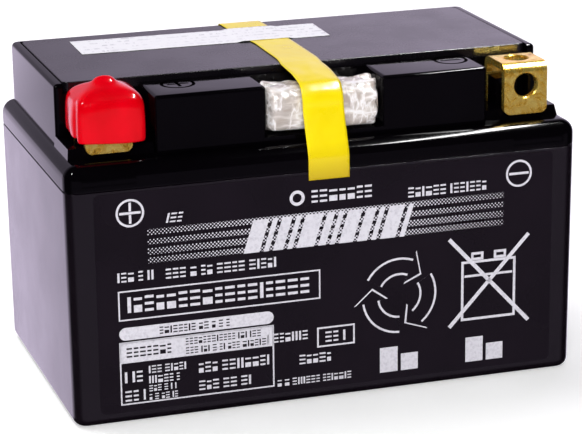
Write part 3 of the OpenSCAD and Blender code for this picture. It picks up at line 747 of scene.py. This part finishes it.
class FrontPrint:
    """Flat ink shapes on the front film, drawn in millimetres of X and Z."""

    def __init__(self, name, lift=0.004, depth=0.02):
        self.name = name
        self.bm = bmesh.new()
        self.low, self.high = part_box("front_label")
        self.slope = (self.high.y - self.low.y - FILM_T * MM) / (self.high.z - self.low.z)
        self.lift = lift
        self.depth = depth

    def at(self, x, z, depth):
        y = self.low.y + self.slope * (self.high.z - z * MM) - (self.lift + depth) * MM
        return self.bm.verts.new((x * MM, y, z * MM))

    def shape(self, outline):
        """A filled outline of (x, z) corners."""
        near = [self.at(x, z, self.depth) for x, z in outline]
        far = [self.at(x, z, 0) for x, z in outline]
        self.bm.faces.new(near)
        self.bm.faces.new(far[::-1])
        for k in range(len(outline)):
            j = (k + 1) % len(outline)
            self.bm.faces.new((near[k], far[k], far[j], near[j]))

    def band(self, outer, inner):
        """The area between two closed outlines with the same number of corners."""
        loops = [[self.at(x, z, d) for x, z in line] for d in (self.depth, 0) for line in (outer, inner)]
        near_out, near_in, far_out, far_in = loops
        for k in range(len(outer)):
            j = (k + 1) % len(outer)
            self.bm.faces.new((near_out[k], near_out[j], near_in[j], near_in[k]))
            self.bm.faces.new((far_out[k], far_in[k], far_in[j], far_out[j]))
            self.bm.faces.new((near_out[k], far_out[k], far_out[j], near_out[j]))
            self.bm.faces.new((near_in[k], near_in[j], far_in[j], far_in[k]))

    def box(self, x0, z0, x1, z1, slant=0.0):
        lean = (z1 - z0) * slant
        self.shape([(x0, z0), (x1, z0), (x1 + lean, z1), (x0 + lean, z1)])

    def frame(self, x0, z0, x1, z1, line):
        self.band([(x0, z0), (x1, z0), (x1, z1), (x0, z1)],
                  [(x0 + line, z0 + line), (x1 - line, z0 + line), (x1 - line, z1 - line),
                   (x0 + line, z1 - line)])

    def ring(self, x, z, r, line):
        turns = [math.tau * k / 48 for k in range(48)]
        self.band([(x + r * math.cos(t), z + r * math.sin(t)) for t in turns],
                  [(x + (r - line) * math.cos(t), z + (r - line) * math.sin(t)) for t in turns])

    def stroke(self, points, width):
        """A line of that width through the points, with square ends."""
        for (xa, za), (xb, zb) in zip(points, points[1:]):
            d = Vector((xb - xa, zb - za)).normalized() * width / 2
            self.shape([(xa - d.y, za + d.x), (xa + d.y, za - d.x), (xb + d.y, zb - d.x),
                        (xb - d.y, zb + d.x)])

    def words(self, x0, x1, z0, z1, seed, slant=0.0, wide=0.56, breaks=0.16):
        """Placeholder print: thin bars and small blocks with a word gap now and then."""
        dice = random.Random(seed)
        height = z1 - z0
        bar = 0.17 * height
        x = x0
        while x < x1 - 0.3 * height * wide:
            end = min(x + height * wide * dice.uniform(0.75, 1.15), x1)
            kind = dice.choice(("stack", "stack", "post", "block"))
            if kind == "post" or end - x < 2 * bar:
                self.box(x, z0, min(x + 1.3 * bar, end), z1, slant)
                end = min(x + 1.3 * bar, end)
            elif kind == "block":
                self.box(x, z0, end, z0 + 0.45 * height, slant)
                self.box(x + 0.75 * height * slant, z0 + 0.75 * height, end + 0.75 * height * slant,
                         z0 + 0.92 * height, slant)
            else:
                for low in (0.0, 0.41, 0.83):
                    self.box(x + low * height * slant, z0 + low * height, end + low * height * slant,
                             z0 + low * height + bar, slant)
            x = end + height * (0.46 if dice.random() < breaks else 0.17)

    def pill(self, x0, z0, x1, z1):
        r = (z1 - z0) / 2
        right = [(x1 - r + r * math.sin(t), z0 + r - r * math.cos(t)) for t in arc(0, math.pi)]
        left = [(x0 + r - r * math.sin(t), z1 - r + r * math.cos(t)) for t in arc(0, math.pi)]
        self.shape(right + left)

    def done(self, material):
        return new_piece(self.name, mesh_from(self.name, self.bm), material, "battery",
                         smooth=False)


def arc(start, end, steps=14):
    return [start + (end - start) * k / steps for k in range(steps + 1)]


def cycle_arrow(ink, x, z, r, start, width, line):
    """One outlined curved arrow of a cycle, going round clockwise from start."""
    sweep = math.radians(82)
    head = math.radians(28)
    turns = arc(start, start - sweep, 10)
    tip = start - sweep - head

    def polar(radius, turn):
        return (x + radius * math.cos(turn), z + radius * math.sin(turn))

    outer = [polar(r + width / 2, t) for t in turns] + [polar(r + width, turns[-1])]
    inner = [polar(r - width, turns[-1])] + [polar(r - width / 2, t) for t in turns[::-1]]
    outline = outer + [polar(r, tip)] + inner
    middle = [polar(r, t) for t in turns] + [polar(r, turns[-1] - head * 0.3)]

    def shrink(point):
        near = min(middle, key=lambda m: math.dist(m, point))
        gap = math.dist(near, point)
        keep = max(gap - line, 0.25 * gap) / gap
        return tuple(m + (p - m) * keep for p, m in zip(point, near))

    ink.band(outline, [shrink(p) for p in outline])


def make_front_print():
    """All ink on the front. Words are plain blocks, and marks are generic symbols."""
    marks = FrontPrint("print_polarity_marks")
    for x in (-57.4, 57.0):
        marks.ring(x, 61.2, 4.0, 0.62)
        marks.box(x - 3.0, 60.85, x + 3.0, 61.55)
    marks.box(-57.75, 61.7, -57.05, 64.2)
    marks.box(-57.75, 58.2, -57.05, 60.7)
    ink = white_ink()
    marks.done(ink)

    title = FrontPrint("print_title_blocks", lift=0.03, depth=0.03)
    lean = 0.32
    x = -25.4
    for width in (4.6, 1.5, 3.0, 1.5, 5.2, 2.2, 1.5, 4.2, 3.0, 1.5, 4.6, 1.5):
        title.box(x, 46.1, x + width, 55.5, lean)
        x += width + 1.2
    title.words(-5.4, 12.4, 58.8, 62.4, 3, wide=0.6, breaks=0.0)
    title.ring(-9.6, 60.6, 2.2, 0.9)
    title.done(ink)

    words = FrontPrint("print_word_blocks")
    for x0, x1, z0, z1, slant in ((-47.4, -41.4, 57.4, 60.1, 0.25), (23.3, 47.0, 57.4, 60.3, 0.0),
                                  (-61.5, -51.2, 41.6, 44.4, 0.0), (-47.8, -14.9, 41.3, 44.2, 0.0),
                                  (-58.9, -5.4, 32.6, 37.2, 0.0), (-18.9, -6.4, 18.8, 21.5, 0.0),
                                  (-1.6, 5.0, 17.2, 20.3, 0.0), (-9.4, 0.0, 11.4, 14.2, 0.0),
                                  (-16.0, 6.2, 5.5, 7.6, 0.0), (-60.3, -54.5, 12.2, 15.4, 0.0),
                                  (-53.4, -42.0, 14.3, 16.5, 0.0), (-53.4, -44.6, 11.3, 13.5, 0.0),
                                  (-39.0, -18.4, 12.6, 15.6, 0.0), (-60.3, -54.5, 6.7, 9.8, 0.0),
                                  (-53.4, -45.6, 8.9, 10.7, 0.0), (-53.4, -44.8, 6.4, 8.2, 0.0),
                                  (-39.0, -23.6, 7.4, 10.2, 0.0)):
        words.words(x0, x1, z0, z1, round(x0 * 7 + z0), slant)
    for x in (14.8, 41.1):
        words.box(x, 5.8, x + 5.4, 13.3)
        words.box(x + 6.4, 5.8, x + 11.6, 10.9)
    words.done(ink)

    boxes = FrontPrint("print_boxes_and_table")
    boxes.frame(-61.5, 30.4, -3.0, 39.1, 0.42)
    boxes.frame(-4.1, 15.8, 7.2, 21.8, 0.5)
    boxes.frame(-61.6, 5.7, -16.9, 24.2, 0.42)
    boxes.box(-61.4, 18.0, -17.1, 24.0)
    boxes.pill(-61.5, 24.7, -16.9, 28.4)
    boxes.done(ink)

    dark = FrontPrint("print_dark_blocks", lift=0.03)
    dark.words(-50.0, -28.6, 25.5, 27.6, 41)
    dark.words(-59.6, -46.8, 19.6, 22.4, 42)
    dark.words(-42.6, -20.6, 21.4, 23.3, 43)
    dark.words(-42.6, -18.6, 18.7, 20.6, 44)
    dark.done(front_film())

    symbols = FrontPrint("print_symbols")
    for k in range(3):
        cycle_arrow(symbols, 20.7, 28.6, 8.7, math.radians(150 - 120 * k), 5.2, 0.62)
    symbols.frame(39.6, 18.5, 56.4, 36.5, 0.75)
    symbols.frame(42.6, 36.6, 46.4, 39.0, 0.75)
    symbols.frame(49.6, 36.6, 53.4, 39.0, 0.75)
    symbols.box(40.6, 31.6, 55.4, 32.3)
    symbols.done(ink)
    cross = FrontPrint("print_cross", lift=0.03)
    cross.stroke([(36.0, 17.0), (60.3, 43.0)], 1.15)
    cross.stroke([(35.8, 43.6), (60.6, 16.6)], 1.15)
    cross.done(ink)

    bands = FrontPrint("print_halftone_bands", lift=0.002, depth=0.015)
    for z0, z1 in ((54.4, 56.1), (51.6, 53.3), (48.8, 50.7), (46.3, 47.9)):
        bands.box(-52.7, z0, 52.4, z1)
    bands.done(halftone(0.0, 0.056))


def make_front_film():
    """The black printed film with round corners, a hair proud of the case wall."""
    film = FrontPrint("front_film", lift=-FILM_T, depth=FILM_T)
    x0, x1 = film.low.x / MM, film.high.x / MM
    z0, z1 = film.low.z / MM, film.high.z / MM
    r = 1.6
    corners = ((x1 - r, z0 + r, -90), (x1 - r, z1 - r, 0), (x0 + r, z1 - r, 90), (x0 + r, z0 + r, 180))
    outline = []
    for x, z, start in corners:
        for turn in arc(math.radians(start), math.radians(start + 90), 8):
            outline.append((x + r * math.cos(turn), z + r * math.sin(turn)))
    film.shape(outline)
    new_piece("front_film_sheet", mesh_from("front_film_sheet", film.bm), front_film(), "battery",
              ["front_label"], smooth=False)


def make_top_label():
    """White label on the vent cover that rides up over the tape under it."""
    low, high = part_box("top_label")
    middle = (low + high) / 2
    width, depth, turn = 75.3 * MM, 17.8 * MM, math.radians(-1.2)
    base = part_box("vent_cover")[1].z + 0.03 * MM
    over_tape = 0.30 * MM
    columns, lines = 150, 34
    rows = []
    for j in range(lines + 1):
        v = (j / lines - 0.5) * depth
        row = []
        for i in range(columns + 1):
            u = (i / columns - 0.5) * width
            x = middle.x + u * math.cos(turn) - v * math.sin(turn)
            y = middle.y + u * math.sin(turn) + v * math.cos(turn)
            hump = smoothstep(-9.6 * MM, -7.4 * MM, x) * smoothstep(8.2 * MM, 6.0 * MM, x)
            wave = 0.03 * noise.noise(Vector((x * 180, y * 220, 1.7))) + 0.03
            row.append(Vector((x, y, base + hump * over_tape + wave * MM)))
        rows.append(row)
    bm, _ = sheet_mesh(rows)
    label = new_piece("white_label", mesh_from("white_label", bm), paper_label(), "shipping_kit",
                      ["top_label"])
    thicken(label, 0.08 * MM, 1.0)


make_stage()
dress_cad()
make_cap()
make_tape()
make_bag()
make_front_film()
make_front_print()
make_top_label()
